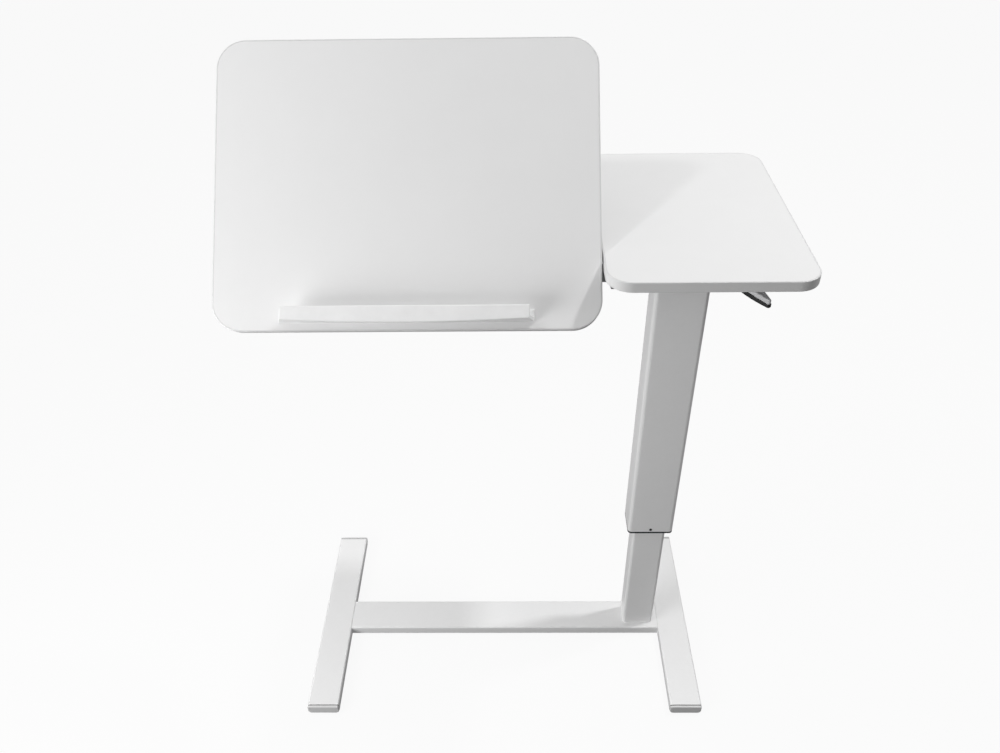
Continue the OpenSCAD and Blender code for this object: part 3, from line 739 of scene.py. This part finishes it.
class READINGTABLE_OT_end_caps(Operator):
    """Makes the four end caps of the feet"""

    bl_idname = "reading_table.end_caps"
    bl_label = "End caps"

    def execute(self, context):
        for node in CAP_NODES:
            self.make_cap(context.scene.reading_table_sizes, node)
        return {"FINISHED"}

    def make_cap(self, s, node):
        """A flange with a rounded face, a plug that stands in the tube, and a dark ring in the joint's groove:
        painted shadow of the seam.
        """
        low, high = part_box(node)
        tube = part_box(node.split("_")[1] + "_foot_tube")
        front = node.startswith("front")
        outward = -1 if front else 1
        face = low.y if front else high.y
        seat = tube[0].y if front else tube[1].y
        plug_end = high.y if front else low.y
        width, height = high.x - low.x, high.z - low.z
        radii = (CAP_UPPER_CORNER,) * 2 + (CAP_LOWER_CORNER,) * 2
        wall, gap, depth = CAP_PLUG_INSET, CAP_GAP, CAP_GAP_DEPTH
        chamfer = 0.3 * MM

        def ring(inset, y):
            flat = outline(width, height, radii, 8, inset)
            return [Vector((p.x, y, p.y)) for p in flat]

        rings = [ring(wall + 2.4 * MM, plug_end), ring(wall + 0.4 * MM, plug_end)]
        rings += [ring(wall, plug_end + outward * 2 * MM), ring(wall, seat)]
        rings += [ring(depth, seat), ring(depth, seat + outward * gap)]
        rings += [ring(chamfer, seat + outward * gap), ring(0.0, seat + outward * (gap + chamfer))]
        for inset, rise in reversed(rounding(s.cap_round, 6)):
            rings.append(ring(inset, face - outward * rise))
        rings.append(ring(s.cap_round + 3 * MM, face))
        centre = Matrix.Translation(((low.x + high.x) / 2, 0, (low.z + high.z) / 2))
        make_piece(node + "_moulding", loft(rings), "base", SLOT_OF[node], (node,), centre, sharp=50.0)

        # Painted shadow: a dark rubber ring fills the joint's groove and stands for the shade in the seam
        near, far = seat + outward * 0.1 * MM, seat + outward * (gap - 0.1 * MM)
        rim, root = 0.6 * MM, depth + 0.2 * MM
        painted_shadow_seal = [ring(root, near), ring(rim + chamfer, near), ring(rim, near + outward * chamfer)]
        painted_shadow_seal += [ring(rim, far - outward * chamfer), ring(rim + chamfer, far), ring(root, far)]
        make_piece(node + "_seal", loft(painted_shadow_seal, joined=True), "base", SLOT_OF["floor_pads"], (), centre)


class READINGTABLE_OT_base(Operator):
    """Finishes the feet, beam and what joins them"""

    bl_idname = "reading_table.base"
    bl_label = "Base"

    def execute(self, context):
        arris = context.scene.reading_table_sizes.arris
        for node in ("left_foot_tube", "right_foot_tube", "cross_beam", "tongue_screws", "column_bolts",
                     "column_washers", "column_foot_block"):
            dress(node)
        for node in ("left_joint_tongue", "right_joint_tongue", "floor_pads"):
            dress(node, arris)
        return {"FINISHED"}


# ---- Column ----


class READINGTABLE_OT_column(Operator):
    """Finishes the telescopic column and the gas spring inside it"""

    bl_idname = "reading_table.column"
    bl_label = "Column"

    def execute(self, context):
        s = context.scene.reading_table_sizes
        for node in ("inner_tube", "outer_tube", "bush_screws", "gas_cylinder", "cylinder_gland",
                     "cylinder_nut", "gas_anchor_plate", "gas_rod", "rod_piston", "rod_lock_nut",
                     "release_pin"):
            dress(node)
        for node in ("upper_guide_bush", "head_plate"):
            dress(node, s.arris)
        dress("lower_guide_bush", s.arris / 3)
        return {"FINISHED"}


# ---- Lever ----

PADDLE_TIP_RADIUS = 3.5 * MM
PADDLE_NECK = 18 * MM
PADDLE_TAPER = 71 * MM
PADDLE_BOW = 2.2 * MM
PADDLE_TOP_INSET = 1.0 * MM
DISH_WIDTH = 3.4 * MM
LEAST_TIP = 0.4 * MM


def paddle_shape(sizes, grow):
    """Outline of the paddle in the lever's frame, larger by grow."""
    wide_r, half_neck = sizes["wide_r"] + grow, sizes["neck"] / 2 + grow
    # Far inside the rim the tip's arc stays small and draws back instead of vanishing
    spare = sizes["tip_r"] + grow - LEAST_TIP
    tip_r = max(spare, 0.0) + LEAST_TIP
    tip_x = sizes["reach"] - sizes["tip_r"] + 2.5 * min(spare, 0.0)
    side = acos((wide_r - tip_r) / (tip_x - sizes["wide_x"]))
    root = pi - asin(min(1.0, half_neck / wide_r))

    def bend(x, r, first, last, steps):
        angles = [first + (last - first) * i / steps for i in range(steps + 1)]
        return [Vector((x + r * cos(a), r * sin(a))) for a in angles]

    start = sizes["start"] - grow
    tip = bend(tip_x, tip_r, -side, side, 16)
    flank = bend(sizes["wide_x"], wide_r, side, root, 12)
    across = bend(sizes["wide_x"], wide_r, -root, -side, 12)
    return (
        tip + bowed(tip[-1], flank[0], sizes["bow"]) + flank
        + [Vector((start, half_neck)), Vector((start, -half_neck))]
        + across + bowed(across[-1], tip[0], sizes["bow"])
    )


def bowed(first, last, bow):
    """Points between two ends, standing out to the right of the way by up to bow."""
    way = last - first
    out = Vector((way.y, -way.x)).normalized()
    return [first + way * i / 7 + out * bow * sin(pi * i / 7) for i in range(1, 7)]


class READINGTABLE_OT_lever(Operator):
    """Makes the two halves of the release paddle and finishes the linkage"""

    bl_idname = "reading_table.lever"
    bl_label = "Release lever"

    def execute(self, context):
        s = context.scene.reading_table_sizes
        low, high = local_box("paddle_base", TO_LEVER)
        top_low, top_high = local_box("paddle_top", TO_LEVER)
        sizes = {
            "wide_r": (high.y - low.y) / 2, "tip_r": PADDLE_TIP_RADIUS, "neck": PADDLE_NECK,
            "start": low.x, "reach": high.x, "wide_x": high.x - PADDLE_TAPER, "bow": PADDLE_BOW,
        }

        seam_z, rim_z = top_low.z, top_high.z
        lean = (seam_z - low.z) * 0.3

        def ring(grow, z):
            points = raised(paddle_shape(sizes, grow), z)
            for p in points:
                along = max(0.0, (p.x - sizes["wide_x"]) / (sizes["reach"] - sizes["wide_x"]))
                p.z += lean * along * along * max(0.0, (seam_z - z) / (seam_z - low.z))
            return points

        rings = [ring(-inset, low.z + rise) for inset, rise in rounding(s.paddle_round, 6)]
        rings += [ring(-inset, seam_z - rise) for inset, rise in reversed(rounding(0.4 * MM, 2))]
        make_piece("paddle_base_moulding", loft(rings), "lever", SLOT_OF["paddle_base"],
                   ("paddle_base",), TO_LEVER, sharp=50.0)

        soft = min(1.7 * MM, (rim_z - seam_z) * 0.8)
        edge = PADDLE_TOP_INSET
        rings = [ring(-edge - 0.2 * MM, seam_z), ring(-edge, seam_z + 0.2 * MM)]
        rings += [ring(-edge - inset, rim_z - rise) for inset, rise in reversed(rounding(soft, 5))]
        for part in (0.1, 0.25, 0.45, 0.7, 1.0):
            dip = s.paddle_dish * sin(pi / 2 * part)
            rings.append(ring(-edge - 0.1 * MM - soft - part * DISH_WIDTH, rim_z - dip))
        make_piece("paddle_top_moulding", loft(rings), "lever", SLOT_OF["paddle_top"],
                   ("paddle_top",), TO_LEVER, sharp=50.0)

        for node in ("lever_arm", "lever_clevis"):
            dress(node, s.arris)
        for node in ("lever_pivot_pin", "pivot_clip", "paddle_screws"):
            dress(node)
        return {"FINISHED"}


# ---- Hinge and fasteners ----


class READINGTABLE_OT_hinge(Operator):
    """Finishes the tilt tube, its bearings and saddles"""

    bl_idname = "reading_table.hinge"
    bl_label = "Hinge"

    def execute(self, context):
        s = context.scene.reading_table_sizes
        for node in ("left_bearing_block", "right_bearing_block", "left_saddle", "right_saddle",
                     "shaft_collars", "tilt_tube_caps"):
            dress(node, s.arris)
        for node in ("tilt_tube", "friction_bushes", "tension_screws", "tension_nuts", "collar_set_screws"):
            dress(node)
        return {"FINISHED"}


class READINGTABLE_OT_board_fixings(Operator):
    """Finishes the screws and bolts that hold the boards and the ledge"""

    bl_idname = "reading_table.board_fixings"
    bl_label = "Board fixings"

    def execute(self, context):
        for node in ("board_screws", "bearing_screws", "saddle_screws", "saddle_bolts", "ledge_screws"):
            dress(node)
        return {"FINISHED"}


# ---- Stage ----


def aim(obj, target):
    """Turns a light so that it shines at a point."""
    obj.rotation_euler = (Vector(target) - obj.location).to_track_quat("-Z", "Y").to_euler()


def soft_light(name, place, target, width, height, power):
    light = bpy.data.lights.new(name, "AREA")
    light.shape = "RECTANGLE"
    light.size = width
    light.size_y = height
    light.energy = power
    obj = bpy.data.objects.new(name, light)
    obj.location = place
    bpy.context.scene.collection.objects.link(obj)
    aim(obj, target)
    return obj


class READINGTABLE_OT_stage(Operator):
    """Sets the camera, the pale floor and the studio lights"""

    bl_idname = "reading_table.stage"
    bl_label = "Stage"

    backdrop: FloatProperty(
        name="Backdrop", description="Brightness of the floor and surround to the camera", default=0.92
    )

    def execute(self, context):
        studio = context.scene.reading_table_studio
        self.make_camera(context, studio)
        self.make_floor(context, studio)
        self.make_lights(context, studio)
        context.scene.view_settings.view_transform = "Standard"
        return {"FINISHED"}

    def make_camera(self, context, studio):
        data = bpy.data.cameras.new("studio_camera")
        data.lens = studio.lens
        data.sensor_width = 36.0
        data.clip_start = 0.05
        data.clip_end = 60.0
        camera = bpy.data.objects.new("studio_camera", data)
        turn = Matrix.Rotation(-studio.heading, 3, "Z") @ Matrix.Rotation(pi / 2 - studio.pitch, 3, "X")
        camera.rotation_euler = (turn @ Matrix.Rotation(studio.roll, 3, "Z")).to_euler()
        camera.location = studio.camera
        context.scene.collection.objects.link(camera)
        context.scene.camera = camera

    def make_floor(self, context, studio):
        bm = bmesh.new()
        bmesh.ops.create_circle(bm, cap_ends=True, segments=96, radius=14.0)
        mesh = bpy.data.meshes.new("studio_floor")
        bm.to_mesh(mesh)
        bm.free()
        floor = bpy.data.objects.new("studio_floor", mesh)
        floor.location.z = -0.3 * MM
        context.scene.collection.objects.link(floor)
        material, tree = new_material("studio_floor_paint")
        seen = tree.add("ShaderNodeLightPath").outputs["Is Camera Ray"]
        paint = tree.add("ShaderNodeBsdfDiffuse", {"Color": (0.05, 0.05, 0.05, 1.0)})
        strength = tree.spread(seen, studio.floor_glow, self.backdrop)
        glow = tree.add("ShaderNodeEmission", {"Strength": strength})
        both = tree.add("ShaderNodeAddShader", {0: paint.outputs[0], 1: glow.outputs[0]})
        tree.add("ShaderNodeOutputMaterial", {"Surface": both.outputs[0]})
        mesh.materials.append(material)

    def make_lights(self, context, studio):
        world = bpy.data.worlds.new("studio_surround")
        world.use_nodes = True
        world.node_tree.nodes.clear()
        tree = Tree(world.node_tree)
        way = tree.add("ShaderNodeTexCoord").outputs["Generated"]
        toward = tree.add("ShaderNodeSeparateXYZ", {"Vector": way})
        strength = tree.add("ShaderNodeMapRange", {
            "Value": toward.outputs["Y"], "From Min": -1.0, "From Max": 0.6,
            "To Min": studio.front_sky, "To Max": studio.sky,
        })
        seen = tree.add("ShaderNodeLightPath").outputs["Is Camera Ray"]
        shown = tree.spread(seen, strength.outputs["Result"], self.backdrop)
        glow = tree.add("ShaderNodeBackground", {"Color": WHITE, "Strength": shown})
        tree.add("ShaderNodeOutputWorld", {"Surface": glow.outputs[0]})
        context.scene.world = world
        middle = (0.0, 0.0, 0.8)
        soft_light("left_key", (-1.05, -0.5, 2.5), middle, 0.16, 0.16, studio.left_key)
        soft_light("right_key", (1.45, 0.35, 3.0), middle, 0.16, 0.16, studio.right_key)
        soft_light("top_fill", (0.0, 0.4, 3.4), middle, 2.2, 2.2, studio.top_fill)
        soft_light("front_fill", (0.3, -2.2, 2.9), middle, 1.2, 0.8, studio.front_fill)
        soft_light("left_side_fill", (-1.15, -0.85, 0.78), middle, 0.9, 0.7, studio.side_fill)


# ---- Panel in the sidebar ----

STEPS = (
    "stage", "boards", "book_ledge", "end_caps", "base", "column", "lever", "hinge", "board_fixings",
)


class READINGTABLE_PT_sidebar(Panel):
    """Lists the building steps and their settings"""

    bl_label = "Reading Table"
    bl_idname = "READINGTABLE_PT_sidebar"
    bl_space_type = "VIEW_3D"
    bl_region_type = "UI"
    bl_category = "Reading Table"

    def draw(self, context):
        layout = self.layout
        for step in STEPS:
            layout.operator("reading_table." + step)
        for group in SETTINGS:
            box = layout.box()
            settings = getattr(context.scene, group)
            for name in settings.__class__.__annotations__:
                box.prop(settings, name)


SETTINGS = {
    "reading_table_sizes": ReadingTableSizes,
    "reading_table_colours": ReadingTableColours,
    "reading_table_studio": ReadingTableStudio,
}

CLASSES = (
    ReadingTableSizes,
    ReadingTableColours,
    ReadingTableStudio,
    READINGTABLE_OT_stage,
    READINGTABLE_OT_boards,
    READINGTABLE_OT_book_ledge,
    READINGTABLE_OT_end_caps,
    READINGTABLE_OT_base,
    READINGTABLE_OT_column,
    READINGTABLE_OT_lever,
    READINGTABLE_OT_hinge,
    READINGTABLE_OT_board_fixings,
    READINGTABLE_PT_sidebar,
)


def register():
    for cls in CLASSES:
        bpy.utils.register_class(cls)
    for name, group in SETTINGS.items():
        setattr(bpy.types.Scene, name, PointerProperty(type=group))


def unregister():
    for name in SETTINGS:
        delattr(bpy.types.Scene, name)
    for cls in reversed(CLASSES):
        bpy.utils.unregister_class(cls)


def main():
    """Builds everything."""
    register()
    for step in STEPS:
        getattr(bpy.ops.reading_table, step)()


if __name__ == "__main__":
    main()
